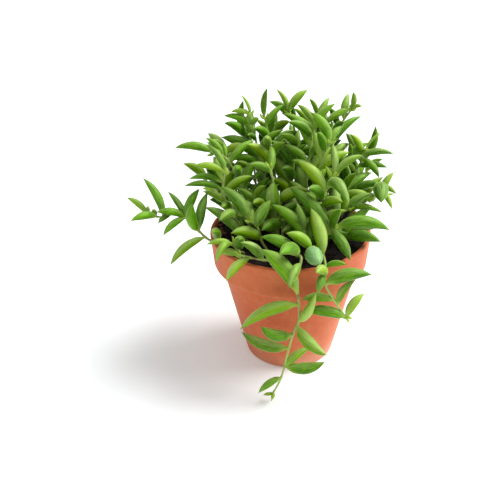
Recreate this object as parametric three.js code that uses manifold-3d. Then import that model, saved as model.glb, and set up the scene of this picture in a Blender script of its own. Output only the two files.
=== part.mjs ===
// A string of bananas plant growing in a clay flower pot.
// Millimetres, +Z up. The origin is on the pot's axis, at the underside of its foot.
// The plant is a set of shoots. A shoot is one stem with the fleshy leaves that grew on it, so it is
// one solid. The pot and the soil are solids of their own, and each shoot stands in a hole in the soil.

import * as THREE from 'three';
import { mergeVertices } from 'three/addons/utils/BufferGeometryUtils.js';
import Module from 'manifold-3d';

const wasm = await Module();
wasm.setup();

// ---------------------------------------------------------------- pot and soil sizes

const POT_HEIGHT = 96.5;
const RIM_RADIUS = 55;            // outside of the lip
const BAND_HEIGHT = 22.5;         // the thick band below the lip
const BAND_TAPER = 1.8;           // how much narrower the band is at its lower edge
const BAND_STEP = 4.9;            // from the band's lower edge in to the body
const FOOT_RADIUS = 32;
const WALL = 2.8;
const FLOOR = 6;
const LIP_ROUND = 1.1;            // rounding of the lip and of the band's lower edge
const FOOT_ROUND = 1.6;
const POT_SIDES = 48;

const DRAIN_COUNT = 3;
const DRAIN_RADIUS = 3.5;
const DRAIN_CIRCLE = 14;          // the drain holes' centres are on this radius

const SOIL_DROP = 1.6;            // from the lip's top down to the soil
const CLEARANCE = 0.3;            // between pieces that touch
const ROOT_EDGE = 1.5;            // least soil between a stem's hole and the pot's wall

// ---------------------------------------------------------------- plant sizes

const STEM_RADIUS = 1;
const ROOT_DEPTH = 6;             // how far a stem goes into the soil
const ROOT_CLEARANCE = 0.5;       // between a stem and its hole in the soil
const STEM_SIDES = 4;
const STEM_STEP = 12;             // longest straight piece of a stem
const STEM_CORNER_GAP = 0.04;     // corners of a stem nearer than this share of a stretch are one
const LEAF_SIDES = 5;
const LEAF_ROOT = 0.7;            // how far inside its stem a leaf starts
const SMALLEST_DETAIL = 0.4;      // facets of a shoot that matter less than this are merged
const LEAF_GAP = 0.45;            // least space between pieces of different shoots
const LEAF_BOW = 0.12;            // how far a leaf arches, as a share of its length
const LEAF_TURN = 137.5;          // degrees around the stem from one leaf to the next
const GROWTH_SEED = 20;           // another seed grows another plant of the same habit

// A leaf's half thickness along its length, both as shares: a short stalk, a fat middle, a pointed tip.
const LEAF_OUTLINE = [[0, 0.22], [0.06, 0.3], [0.18, 0.74], [0.34, 0.96], [0.5, 1], [0.66, 0.92],
  [0.8, 0.68], [0.92, 0.35], [1, 0.04]];
const LEAF_RINGS = [0.26, 0.68];
const LEAF_FULLNESS = 1.12;       // a faceted leaf is drawn this much thicker, to hold the round one's bulk

// The shoots' places below are written for a pot of this size, and spread or drop with the real one.
const DRAWN_RIM_RADIUS = 55;
const DRAWN_POT_HEIGHT = 96.5;

// ---------------------------------------------------------------- shoots with chosen places
// root: x and y in the soil. route: points that the stem passes, as x, y and height over the lip.
// leaves: where on the route (1 is its first point, 2.5 is midway from the second to the third), heading
// (0 is +X, 90 is +Y), lift over level, length, thickness and, if it isn't the usual one, the bow.

const CHOSEN_SHOOTS = {
  front_long: {
    root: [8, -38],
    route: [[4, -48, 7], [7, -57, 10], [4, -63, -2], [6, -64, -19], [6, -64, -32], [3, -64, -40],
      [0, -64, -53], [-5, -65, -77], [-11, -66, -91]],
    leaves: [
      [3.5, 149, 46, 35, 10.4], [2.3, -110, -15, 20, 5.5], [4, -165, -18, 39, 8.3],
      [5, 15, 66, 25, 6], [6.2, -155, 30, 25, 8, -0.15], [7, 170, 14, 32, 8, -0.15],
      [5.4, -40, -25, 26, 8.3, -0.12], [7.6, 0, 8, 26, 8, -0.15], [8, -150, -20, 18, 5],
      [1.3, 175, 28, 25, 7.5], [9, -170, 0, 6, 2.5], [8.8, -100, -20, 6, 2.2],
    ],
    extra: 2,
  },
  front_right_long: {
    root: [20, -36],
    route: [[21, -45, 5], [22, -57, 4], [22, -62, -5], [28, -62, -17], [36, -61, -31]],
    leaves: [
      [2, -30, 25, 15, 4], [3, 5, 12, 28, 8.8], [2.3, -110, -25, 16, 5], [4, -170, 8, 20, 6],
      [5, -178, 20, 27, 7.5], [5, 30, 50, 19, 6],
    ],
    extra: 3,
  },
  front_middle: {
    root: [12, -37],
    route: [[12, -41, 3], [13, -45, 9]],
    leaves: [[2, -160, 35, 22, 7.5], [2, -75, 0, 18, 11, 0.05]],
    extra: 0,
  },
  rim_runner: {
    root: [-6, -43],
    route: [[-10, -46, 1.5], [-17, -47, 3], [-25, -46, 4], [-32, -43, 4]],
    leaves: [[2, 180, 45, 19, 6.5], [3, -140, -28, 21, 6], [4, 170, 20, 14, 5]],
    extra: 0,
  },
  rim_front_left: {
    root: [-30, -32],
    route: [[-33, -36, 3], [-37, -37, 9]],
    leaves: [[1, -95, 60, 20, 7], [2, -120, -15, 18, 5, 0.25], [2, -165, 5, 16, 4]],
    extra: 0,
  },
  front_left: {
    root: [-22, -27],
    route: [[-25, -26, 3], [-31, -25, 7], [-34, -22, 12]],
    leaves: [[2, 165, 36, 31, 7.5]],
    extra: 1,
  },
  left_long: {
    root: [-38, -22],
    route: [[-46, -24, 3], [-53, -24, 4], [-60, -21, 9], [-69, -15, 16], [-77, -13, 18],
      [-83, -13, 15], [-90, -12, 15], [-95, -12, 16]],
    leaves: [
      [6.2, 150, 60, 29, 6], [8, 165, 38, 18, 4.5], [7, -100, 60, 8, 3.5], [8, 140, 60, 7, 3],
      [4, -170, 20, 20, 5.5], [4, 150, 42, 21, 4.5], [4, -145, -25, 19, 5], [5.3, -130, -10, 12, 4],
      [3, -110, 75, 24, 7.5], [2.4, -150, -28, 29, 6], [3, 70, 55, 26, 6.5],
    ],
    extra: 3,
  },
  left_low: {
    root: [-29, -8],
    route: [[-33, -8, 6], [-39, -8, 17], [-43, -8, 27], [-44, -8, 36], [-42, -8, 45]],
    leaves: [
      [2.4, 160, 42, 20, 5], [3.6, -165, 14, 26, 4.5], [4.2, 165, 0, 24, 4.5],
      [5, -178, 14, 21, 5], [5, 150, 50, 22, 4.5],
    ],
    extra: 4,
  },
  left_middle: {
    root: [-22, 5],
    route: [[-27, 5, 10], [-32, 5, 27], [-38, 5, 42], [-44, 5, 51], [-51, 5, 54]],
    leaves: [
      [5, -178, 8, 25, 6], [4.7, 150, 60, 16, 4], [4.1, 165, 45, 16, 4.5], [3.8, 110, 50, 12, 3],
      [2, 50, 55, 22, 7],
    ],
    extra: 5,
  },
  left_top: {
    root: [-15, 18],
    route: [[-17, 22, 9], [-20, 25, 33], [-23, 25, 51], [-26, 25, 65], [-27, 25, 73]],
    leaves: [
      [4, 178, 20, 20, 5], [5, 180, 8, 13, 3.5], [5, 150, 60, 14, 2.5], [2.4, 170, 28, 30, 9],
      [3.2, -130, 45, 14, 4], [4, -60, 40, 12, 4], [2.2, -170, 35, 22, 6],
    ],
    extra: 5,
  },
  top_left: {
    root: [-6, 27],
    route: [[-8, 32, 6], [-12, 35, 30], [-14, 35, 44], [-16, 35, 58], [-18, 35, 67]],
    leaves: [
      [3.6, 60, 75, 20, 6], [2.7, 10, 60, 25, 8], [2.6, -170, 65, 20, 6, 0.2],
      [5, 60, 80, 20, 4.5], [2, 30, 42, 27, 7], [1.9, 15, 28, 22, 4.5],
    ],
    extra: 5,
  },
  top_middle: {
    root: [6, 35],
    route: [[7, 42, 4], [7, 45, 24], [4, 45, 47], [1, 45, 61], [-2, 45, 68]],
    leaves: [[4.2, 165, 38, 20, 6], [5, 150, 65, 17, 4], [5, -60, 55, 10, 3], [4.8, 25, 45, 20, 6]],
    extra: 6,
  },
  top_right: {
    root: [17, 27],
    route: [[18, 32, 5], [21, 35, 28], [21, 35, 45], [20, 35, 58], [18, 35, 67]],
    leaves: [
      [5, -150, 65, 16, 3.5], [3.3, -80, 75, 20, 5.5], [3, 160, 40, 36, 7.5],
      [2.1, 145, 55, 26, 5], [2.6, 150, 48, 24, 7],
    ],
    extra: 5,
  },
  right_top: {
    root: [26, 22],
    route: [[28, 30, 8], [29, 35, 28], [28, 35, 46], [34, 35, 62], [41, 35, 73]],
    leaves: [
      [5, -160, -25, 22, 5], [5, -90, 75, 13, 4], [5, -50, 25, 10, 3], [3, 25, 35, 30, 6],
      [2.9, 35, 48, 25, 7], [3.8, -150, 65, 16, 5],
    ],
    extra: 5,
  },
  right_upper: {
    root: [25, 12],
    route: [[27, 18, 8], [31, 20, 27], [38, 20, 40], [46, 20, 44], [50, 20, 49]],
    leaves: [
      [3.3, -100, 80, 18, 3.5], [3, 15, 25, 20, 6], [5, 10, 50, 16, 2], [4.2, -60, 45, 10, 3],
      [4.2, 5, 3, 22, 5], [4.1, -25, -40, 19, 5],
    ],
    extra: 5,
  },
  right_middle: {
    root: [22, 2],
    route: [[26, 5, 2], [32, 5, 18], [40, 5, 26], [50, 5, 28], [59, 5, 29]],
    leaves: [
      [2.6, 5, 10, 23, 5.5], [3.2, -15, 12, 20, 5.5], [2.3, -35, 12, 25, 7.5], [5, -93, 4, 26, 10],
      [5, -60, 5, 16, 4], [5, -50, -40, 17, 4], [1.6, 0, -2, 33, 5.5],
    ],
    extra: 5,
  },
  right_front: {
    root: [13, -27],
    route: [[16, -28, 1], [20, -28, 7], [25, -28, 12], [29, -28, 16]],
    leaves: [[4, 2, -3, 34, 8.8, 0.15], [3.3, -55, -30, 23, 7.5], [3, 152, 42, 38, 9]],
    extra: 2,
  },
  middle_right: {
    root: [17, -15],
    route: [[19, -15, 10], [21, -15, 24], [22, -15, 33], [25, -15, 41], [28, -15, 47]],
    leaves: [
      [3.6, -63, 2, 25, 7.7, 0.3], [3, 160, 48, 28, 8.5], [2, -50, 30, 21, 6.5],
      [1, -10, 45, 22, 6.5], [5, 70, 70, 20, 5], [5, 10, 35, 21, 5], [4.3, 150, 70, 10, 3],
    ],
    extra: 3,
  },
  middle: {
    root: [-9, -12],
    route: [[-8, -10, 4], [-8, -10, 19], [-9, -10, 30], [-12, -10, 44], [-14, -10, 51]],
    leaves: [[0.9, 115, 62, 28, 7], [2.1, -104, 68, 26, 9], [4.2, -150, 50, 18, 5]],
    extra: 3,
  },
  middle_front: {
    root: [9, -20],
    route: [[10, -28, 2], [10, -30, 9], [9, -28, 20]],
    leaves: [[2, 145, 50, 31, 8], [1, 60, 75, 22, 6.5]],
    extra: 2,
  },
  middle_left: {
    root: [-15, -27],
    route: [[-18, -25, 3], [-21, -25, 14], [-26, -25, 19]],
    leaves: [[1.2, -150, 35, 24, 8], [2.1, -20, 65, 23, 7], [3, 155, 45, 28, 8.5]],
    extra: 1,
  },
  right_rim: {
    root: [33, -17],
    route: [[36, -16, 1], [39, -15, 4]],
    leaves: [[1.2, -25, 8, 24, 8], [2, 10, 5, 20, 5.5]],
    extra: 3,
  },
};

// ---------------------------------------------------------------- shoots grown by rule
// Each row is a fan of like shoots: how many, the headings of the first and the last, how far out they
// root, how far out and how high they end, and how many leaves each has.

const GROWN_ROWS = [
  { name: 'back', count: 7, from: 10, to: 170, root: 40, reach: 64, height: 30, leaves: 7 },
  { name: 'crown', count: 5, from: -5, to: 185, root: 12, reach: 24, height: 58, leaves: 9 },
  { name: 'back_high', count: 4, from: 45, to: 135, root: 30, reach: 50, height: 56, leaves: 8 },
  { name: 'side', count: 6, from: -25, to: 205, root: 27, reach: 40, height: 24, leaves: 6 },
  { name: 'inner', count: 4, from: -155, to: -25, root: 13, reach: 20, height: 17, leaves: 4 },
  { name: 'back_trailing', count: 2, from: 60, to: 130, root: 44, reach: 68, height: -28, leaves: 7 },
  { name: 'thicket', count: 4, from: 40, to: 140, root: 22, reach: 36, height: 42, leaves: 13 },
  { name: 'rear', count: 4, from: 30, to: 150, root: 42, reach: 55, height: 47, leaves: 11 },
];

// ---------------------------------------------------------------- small helpers

// Repeatable numbers from 0 to 1, so that the plant grows the same way every time.
function makeDice(seed) {
  let state = seed;
  return () => {
    state = (state * 16807) % 2147483647;
    return state / 2147483647;
  };
}

const radians = (degrees) => degrees * Math.PI / 180;

const directionOf = (heading, lift) => new THREE.Vector3(
  Math.cos(radians(lift)) * Math.cos(radians(heading)),
  Math.cos(radians(lift)) * Math.sin(radians(heading)),
  Math.sin(radians(lift)),
);

function solidFrom(geometry) {
  const bare = geometry.clone();
  bare.deleteAttribute('normal');
  bare.deleteAttribute('uv');
  const merged = mergeVertices(bare, 1e-5);
  return new wasm.Manifold(new wasm.Mesh({
    numProp: 3,
    vertProperties: new Float32Array(merged.attributes.position.array),
    triVerts: new Uint32Array(merged.index.array),
  }));
}

function geometryFrom(solid) {
  const mesh = solid.getMesh();
  const geometry = new THREE.BufferGeometry();
  geometry.setAttribute('position', new THREE.BufferAttribute(new Float32Array(mesh.vertProperties), 3));
  geometry.setIndex(new THREE.BufferAttribute(new Uint32Array(mesh.triVerts), 1));
  geometry.computeVertexNormals();
  return geometry;
}

function named(name, geometry, material) {
  const mesh = new THREE.Mesh(geometry, material);
  mesh.name = name;
  return mesh;
}

// A solid of revolution about the Z axis, from points given as radius and height.
function turned(profile, sides) {
  const geometry = new THREE.LatheGeometry(profile.map(([r, z]) => new THREE.Vector2(r, z)), sides);
  geometry.rotateX(Math.PI / 2);
  return geometry;
}

// ---------------------------------------------------------------- pot and soil

const bandFoot = POT_HEIGHT - BAND_HEIGHT;
const bandFootRadius = RIM_RADIUS - BAND_TAPER;
const bodyTopRadius = bandFootRadius - BAND_STEP;
const soilTop = POT_HEIGHT - SOIL_DROP;

// The pot's inside wall is a straight cone from the lip's inner edge to the floor.
const insideTop = RIM_RADIUS - WALL;
const insideBottom = FOOT_RADIUS - WALL + (bodyTopRadius - FOOT_RADIUS) * FLOOR / bandFoot;
const insideRadius = (z) => insideBottom + (insideTop - insideBottom) * (z - FLOOR) / (POT_HEIGHT - FLOOR);

// The outside, from the foot up to the lip.
const outside = [
  [0, 0],
  [FOOT_RADIUS - FOOT_ROUND, 0],
  [FOOT_RADIUS, FOOT_ROUND],
  [bodyTopRadius, bandFoot],
  [bandFootRadius - LIP_ROUND, bandFoot],
  [bandFootRadius, bandFoot + LIP_ROUND],
  [RIM_RADIUS, POT_HEIGHT - LIP_ROUND],
  [RIM_RADIUS - LIP_ROUND * 0.4, POT_HEIGHT - LIP_ROUND * 0.4],
  [RIM_RADIUS - LIP_ROUND, POT_HEIGHT],
];

function makePot() {
  const inside = [
    [insideTop + CLEARANCE, POT_HEIGHT],
    [insideRadius(soilTop), soilTop],
    [insideBottom, FLOOR],
    [0, FLOOR],
  ];
  let pot = solidFrom(turned([...outside, ...inside], POT_SIDES));
  for (let i = 0; i < DRAIN_COUNT; i += 1) {
    const turn = 2 * Math.PI * i / DRAIN_COUNT;
    const hole = new THREE.CylinderGeometry(DRAIN_RADIUS, DRAIN_RADIUS, FLOOR * 3, 16);
    hole.rotateX(Math.PI / 2);
    hole.translate(DRAIN_CIRCLE * Math.cos(turn), DRAIN_CIRCLE * Math.sin(turn), 0);
    pot = pot.subtract(solidFrom(hole));
  }
  return geometryFrom(pot);
}

function makeSoil(roots) {
  const profile = [
    [0, FLOOR + CLEARANCE],
    [insideRadius(FLOOR + CLEARANCE) - CLEARANCE, FLOOR + CLEARANCE],
    [insideRadius(soilTop) - CLEARANCE, soilTop],
    [0, soilTop],
  ];
  let soil = solidFrom(turned(profile, POT_SIDES));
  const depth = ROOT_DEPTH + CLEARANCE;
  for (const root of roots) {
    const radius = STEM_RADIUS + ROOT_CLEARANCE;
    const socket = new THREE.CylinderGeometry(radius, radius, depth * 2, 6);
    socket.rotateX(Math.PI / 2);
    socket.translate(root.x, root.y, soilTop);
    soil = soil.subtract(solidFrom(socket));
  }
  return geometryFrom(soil);
}

// How far a point is outside the filled pot: negative inside. The surface that it stands on counts too.
function spaceAt(x, y, z) {
  const r = Math.hypot(x, y);
  const edge = [...outside, [insideTop, POT_HEIGHT], [insideTop, soilTop], [0, soilTop]];
  let nearest = Infinity;
  let within = false;
  for (let i = 0; i < edge.length; i += 1) {
    const [ar, az] = edge[i];
    const [br, bz] = edge[(i + 1) % edge.length];
    const dr = br - ar;
    const dz = bz - az;
    const share = Math.min(1, Math.max(0, ((r - ar) * dr + (z - az) * dz) / (dr * dr + dz * dz)));
    if (ar > 0 || br > 0) nearest = Math.min(nearest, Math.hypot(r - ar - dr * share, z - az - dz * share));
    if ((az > z) !== (bz > z) && r < ar + dr * (z - az) / dz) within = !within;
  }
  return Math.min(within ? -nearest : nearest, z);
}

// ---------------------------------------------------------------- stems

// A route's points are spread with the rim, and what hangs below the lip drops with the pot's height.
function placed([x, y, height]) {
  const spread = RIM_RADIUS / DRAWN_RIM_RADIUS;
  const drop = height < 0 ? POT_HEIGHT / DRAWN_POT_HEIGHT : 1;
  return new THREE.Vector3(x * spread, y * spread, POT_HEIGHT + height * drop);
}

// A point on the smooth curve through a route, where "at" counts the route's points from 0.
function pointAt(route, at) {
  const spans = route.length - 1;
  const i = Math.min(spans - 1, Math.max(0, Math.floor(at)));
  const t = Math.min(1, Math.max(0, at - i));
  const before = route[Math.max(0, i - 1)];
  const start = route[i];
  const end = route[i + 1];
  const after = route[Math.min(spans, i + 2)];
  const curve = (a, b, c, d) => 0.5 * (2 * b + (c - a) * t + (2 * a - 5 * b + 4 * c - d) * t * t
    + (3 * b - a - 3 * c + d) * t * t * t);
  return new THREE.Vector3(
    curve(before.x, start.x, end.x, after.x),
    curve(before.y, start.y, end.y, after.y),
    curve(before.z, start.z, end.z, after.z),
  );
}

// The stem's middle line: straight up out of the soil, then along the smooth curve in straight pieces.
// It has a corner at each point of the route and at each leaf, and in the middle of a long stretch.
function stemLine(shoot) {
  const { route, leaves } = shoot;
  const corners = leaves.map((leaf) => leaf.at);
  route.forEach((point, i) => {
    corners.push(i);
    if (i > 0 && point.distanceTo(route[i - 1]) > STEM_STEP) corners.push(i - 0.5);
  });
  corners.sort((a, b) => a - b);
  const line = [new THREE.Vector3(route[0].x, route[0].y, soilTop - ROOT_DEPTH)];
  let last = -1;
  for (const at of corners) {
    if (at - last > STEM_CORNER_GAP) {
      line.push(pointAt(route, at));
      last = at;
    }
  }
  return line;
}

class Polyline extends THREE.Curve {
  constructor(points) {
    super();
    this.points = points;
  }

  getPoint(t) {
    const last = this.points.length - 1;
    const i = Math.min(last - 1, Math.floor(t * last));
    return this.points[i].clone().lerp(this.points[i + 1], t * last - i);
  }

  getPointAt(t) {
    return this.getPoint(t);
  }
}

function tube(line, radius, sides) {
  const section = new THREE.Shape();
  for (let i = 0; i < sides; i += 1) {
    const turn = 2 * Math.PI * i / sides;
    if (i === 0) section.moveTo(radius, 0);
    else section.lineTo(radius * Math.cos(turn), radius * Math.sin(turn));
  }
  section.closePath();
  return new THREE.ExtrudeGeometry(section, { extrudePath: new Polyline(line), steps: line.length - 1 });
}

// ---------------------------------------------------------------- leaves

function outlineAt(share) {
  const next = LEAF_OUTLINE.findIndex(([at]) => at >= share);
  if (next <= 0) return LEAF_OUTLINE[0][1];
  const [a, ra] = LEAF_OUTLINE[next - 1];
  const [b, rb] = LEAF_OUTLINE[next];
  return ra + (rb - ra) * (share - a) / (b - a);
}

// The side that a leaf arches to: upwards, or away from the pot's axis on a leaf that stands up.
function archSide(base, direction) {
  const side = new THREE.Vector3(0, 0, 1);
  if (Math.abs(direction.z) > 0.9) side.set(base.x, base.y, 0).normalize();
  side.addScaledVector(direction, -side.dot(direction));
  return side.normalize();
}

function leafPoint(leaf, share) {
  return leaf.base.clone()
    .addScaledVector(leaf.direction, leaf.length * share)
    .addScaledVector(leaf.side, leaf.length * leaf.bow * 4 * share * (1 - share));
}

function leafGeometry(leaf) {
  const stalk = outlineAt(0) * leaf.thickness / 2;
  const profile = [[0, -LEAF_ROOT], [stalk, -LEAF_ROOT]];
  for (const share of LEAF_RINGS) {
    profile.push([outlineAt(share) * leaf.thickness / 2 * LEAF_FULLNESS, share * leaf.length]);
  }
  profile.push([0, leaf.length]);
  const geometry = turned(profile, LEAF_SIDES);
  const across = new THREE.Vector3().crossVectors(leaf.direction, leaf.side);
  const position = geometry.attributes.position;
  for (let i = 0; i < position.count; i += 1) {
    const point = leafPoint(leaf, position.getZ(i) / leaf.length)
      .addScaledVector(leaf.side, position.getX(i))
      .addScaledVector(across, position.getY(i));
    position.setXYZ(i, point.x, point.y, point.z);
  }
  return geometry;
}

// ---------------------------------------------------------------- growing room
// Everything that has grown is kept as a string of balls. A new leaf or stem is turned a little, and
// then shortened, until its own balls are clear of those of the others and of the pot and soil.

const grown = [];
const OWN_SHARE = 0.35;           // a leaf's first third may touch the rest of its own shoot,
const OWN_LENGTH = 5;             // and so may at least this length of it
const TRIES = [[0, 0], [8, 0], [-8, 0], [0, 8], [0, -8], [14, 10], [-14, 10], [14, -10], [-14, -10],
  [22, 0], [-22, 0], [0, 20], [0, -20], [26, 18], [-26, 18], [26, -18], [-26, -18], [40, 0], [-40, 0],
  [0, 36], [0, -36], [44, 26], [-44, 26], [44, -26], [-44, -26]];
const SHORTER = [1, 0.85, 0.7, 0.55];

function stemBalls(shoot) {
  const { route, name } = shoot;
  const balls = [];
  for (let i = 1; i < route.length; i += 1) {
    const count = Math.ceil(route[i].distanceTo(route[i - 1]) / STEM_RADIUS);
    for (let k = 1; k <= count; k += 1) {
      const { x, y, z } = pointAt(route, i - 1 + k / count);
      balls.push({ x, y, z, r: STEM_RADIUS, shoot: name, kind: 'stem' });
    }
  }
  return balls;
}

function leafBalls(leaf, shoot) {
  const count = Math.ceil(leaf.length / (leaf.thickness * 0.3));
  const balls = [];
  for (let i = 1; i <= count; i += 1) {
    const share = i / count;
    const { x, y, z } = leafPoint(leaf, share);
    const kind = share * leaf.length < Math.max(OWN_SHARE * leaf.length, OWN_LENGTH) ? 'stalk' : 'blade';
    balls.push({ x, y, z, r: outlineAt(share) * leaf.thickness / 2, shoot, kind });
  }
  return balls;
}

function touches(ball, other) {
  if (ball.shoot === other.shoot && (ball.kind === 'stalk' || other.kind === 'stalk')) return false;
  const reach = ball.r + other.r + LEAF_GAP;
  const dx = ball.x - other.x;
  const dy = ball.y - other.y;
  const dz = ball.z - other.z;
  return dx * dx + dy * dy + dz * dz < reach * reach;
}

const clearOfPot = (ball) => spaceAt(ball.x, ball.y, ball.z) > ball.r + CLEARANCE;

const clearOfPlant = (ball) => !grown.some((other) => touches(ball, other));

function growLeaf(shoot, [at, heading, lift, length, thickness, bow = LEAF_BOW]) {
  const base = pointAt(shoot.route, at);
  for (const shorter of SHORTER) {
    for (const [turn, raise] of TRIES) {
      const direction = directionOf(heading + turn, Math.min(88, Math.max(-80, lift + raise)));
      const side = archSide(base, direction);
      const leaf = { at, base, direction, side, length: length * shorter, thickness, bow };
      const balls = leafBalls(leaf, shoot.name);
      if (balls.every(clearOfPot) && balls.every(clearOfPlant)) {
        grown.push(...balls);
        shoot.leaves.push(leaf);
        return;
      }
    }
  }
}

// A shoot's leaves by rule: spaced along the stem, each a turn on from the last, and smaller and steeper
// towards the tip.
function leavesByRule(shoot, count, dice) {
  const spans = shoot.route.length - 1;
  const start = 360 * dice();
  const rows = [];
  for (let i = 0; i < count; i += 1) {
    const share = count > 1 ? i / (count - 1) : 1;
    const at = spans * (shoot.wanted.length > 0 ? 0.15 + 0.7 * share : 0.3 + 0.7 * share);
    const heading = start + LEAF_TURN * i;
    const lift = 28 + 35 * share * dice() + 18 * dice();
    const length = (27 - 8 * share) * (0.85 + 0.35 * dice());
    const thickness = length * (0.25 + 0.06 * dice());
    rows.push([at, heading, lift, length, thickness]);
  }
  return rows;
}

// ---------------------------------------------------------------- the shoots

const ROOT_REACH = insideRadius(soilTop) - STEM_RADIUS - ROOT_CLEARANCE - ROOT_EDGE;

function newShoot(name, root, points) {
  const spread = RIM_RADIUS / DRAWN_RIM_RADIUS;
  const foot = new THREE.Vector3(root[0] * spread, root[1] * spread, soilTop + STEM_RADIUS);
  const reach = Math.min(1, ROOT_REACH / Math.hypot(foot.x, foot.y));
  foot.x *= reach;
  foot.y *= reach;
  return { name, route: [foot, ...points.map(placed)], leaves: [] };
}

const shoots = [];

for (const [name, { root, route, leaves, extra }] of Object.entries(CHOSEN_SHOOTS)) {
  const shoot = newShoot(`shoot_${name}`, root, route);
  shoot.wanted = leaves;
  shoot.extra = extra;
  grown.push(...stemBalls(shoot));
  shoots.push(shoot);
}

// Of the chosen leaves, the big ones take their places first.
const chosen = shoots.flatMap((shoot) => shoot.wanted.map((leaf) => ({ shoot, leaf })));
const bulk = ({ leaf }) => leaf[3] * leaf[4];
chosen.sort((a, b) => bulk(b) - bulk(a));
for (const { shoot, leaf } of chosen) growLeaf(shoot, leaf);

// A grown shoot's stem leans out along one heading. It is turned, and then cut shorter, until it is clear
// of what has grown before it.
const STEM_TURNS = [0, 4, -4, 8, -8, 12, -12, 16, -16, 20, -20, 26, -26, 32, -32];
const STEM_SHORTER = [1, 0.75, 0.5, 0.3];
const dice = makeDice(GROWTH_SEED);

function grownRoute(row, heading, height, reach, bend) {
  const at = (radius, up, aside) => {
    const out = directionOf(heading + aside, 0);
    return [radius * out.x, radius * out.y, up];
  };
  const lean = reach - row.root;
  const trailing = [at(row.root + lean * 0.3, 6, 0), at(row.root + lean * 0.75, 8, bend / 2)];
  const rising = [at(row.root + lean * 0.15, height * 0.3, 0), at(row.root + lean * 0.5, height * 0.7, bend)];
  const middle = row.height < 0 ? trailing : rising;
  return { root: at(row.root, 0, 0), points: [...middle, at(reach, height, bend * 2)] };
}

function growShoot(row, name, heading) {
  const height = row.height * (0.8 + 0.4 * dice());
  const reach = row.reach * (0.92 + 0.16 * dice());
  const bend = 10 * dice() - 5;
  for (const shorter of STEM_SHORTER) {
    for (const turn of STEM_TURNS) {
      const { root, points } = grownRoute(row, heading + turn, height * shorter, reach, bend);
      const shoot = newShoot(name, root, points);
      const balls = stemBalls(shoot);
      const free = balls.filter((ball) => ball.z > soilTop + 3 * STEM_RADIUS);
      if (free.every(clearOfPot) && balls.every(clearOfPlant)) {
        grown.push(...balls);
        shoots.push({ ...shoot, wanted: [], extra: row.leaves });
        return;
      }
    }
  }
}

for (const row of GROWN_ROWS) {
  for (let i = 0; i < row.count; i += 1) {
    growShoot(row, `shoot_${row.name}_${i + 1}`, row.from + (row.to - row.from) * i / (row.count - 1));
  }
}

// Leaves that grow by rule fill what room is left.
for (const shoot of shoots) {
  for (const leaf of leavesByRule(shoot, shoot.extra, dice)) growLeaf(shoot, leaf);
}

// Where stalks meet all round a tiny hollow, it is filled.
function withoutHollows(solid) {
  return wasm.Manifold.compose(solid.decompose().filter((piece) => piece.volume() > 0));
}

function makeShoot(shoot) {
  let solid = solidFrom(tube(stemLine(shoot), STEM_RADIUS, STEM_SIDES));
  for (const leaf of shoot.leaves) solid = solid.add(solidFrom(leafGeometry(leaf)));
  return geometryFrom(withoutHollows(solid.asOriginal().simplify(SMALLEST_DETAIL)));
}

// ---------------------------------------------------------------- materials and assembly

const clay = new THREE.MeshStandardMaterial({ color: 0xb9693f, roughness: 0.9, metalness: 0 });
const peat = new THREE.MeshStandardMaterial({ color: 0x1d1512, roughness: 1, metalness: 0 });
const leafGreen = new THREE.MeshStandardMaterial({ color: 0x5f8f2c, roughness: 0.42, metalness: 0 });

const group = new THREE.Group();
group.add(named('pot', makePot(), clay));
group.add(named('soil', makeSoil(shoots.map((shoot) => shoot.route[0])), peat));
for (const shoot of shoots) group.add(named(shoot.name, makeShoot(shoot), leafGreen));

export default group;
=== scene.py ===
"""The visual model of a potted string of bananas plant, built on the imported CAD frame.

The pot, the soil and each shoot stand for the CAD node of the same name. The shoots grow by the same
rule and from the same values as in the CAD model, so each fine shoot lies where its CAD solid does.
Sizes are in millimetres until a mesh is made, and Blender's objects are in metres.
"""

import math

import bpy
import numpy as np
from mathutils import Matrix, Vector


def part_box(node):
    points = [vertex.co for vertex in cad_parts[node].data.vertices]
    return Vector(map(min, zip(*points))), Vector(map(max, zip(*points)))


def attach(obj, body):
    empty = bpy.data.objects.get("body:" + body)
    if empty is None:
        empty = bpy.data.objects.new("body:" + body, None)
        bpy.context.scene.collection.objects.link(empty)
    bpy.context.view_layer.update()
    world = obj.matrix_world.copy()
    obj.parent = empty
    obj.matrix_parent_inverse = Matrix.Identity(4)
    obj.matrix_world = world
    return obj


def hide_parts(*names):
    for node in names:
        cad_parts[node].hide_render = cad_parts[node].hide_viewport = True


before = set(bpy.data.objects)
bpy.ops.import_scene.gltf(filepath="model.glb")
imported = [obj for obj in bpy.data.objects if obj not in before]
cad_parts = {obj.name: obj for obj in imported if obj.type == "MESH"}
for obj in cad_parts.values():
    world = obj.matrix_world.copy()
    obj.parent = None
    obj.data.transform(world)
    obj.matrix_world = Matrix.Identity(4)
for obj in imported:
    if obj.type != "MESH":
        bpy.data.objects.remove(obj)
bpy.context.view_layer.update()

MM = 0.001

# ------------ sizes, as in the CAD model

POT_HEIGHT = 96.5
RIM_RADIUS = 55.0           # outside of the lip
BAND_HEIGHT = 22.5          # the thick band below the lip
BAND_FOOT_RADIUS = 53.2
BODY_TOP_RADIUS = 48.3
FOOT_RADIUS = 32.0
WALL = 2.8
FLOOR = 6.0
LIP_ROUND = 1.1
FOOT_ROUND = 1.6
DRAIN_COUNT = 3
DRAIN_RADIUS = 3.5
DRAIN_CIRCLE = 14.0
SOIL_DROP = 1.6             # from the lip's top down to the soil
CLEARANCE = 0.3             # between pieces that touch
ROOT_EDGE = 1.5             # least soil between a stem's hole and the pot's wall
STEM_RADIUS = 1.0
ROOT_DEPTH = 6.0
ROOT_CLEARANCE = 0.5
LEAF_ROOT = 0.7             # how far inside its stem a leaf starts
LEAF_GAP = 0.45             # least space between pieces of different shoots
LEAF_BOW = 0.12             # how far a leaf arches, as a share of its length
LEAF_TURN = 137.5           # degrees around the stem from one leaf to the next
GROWTH_SEED = 20
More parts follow.
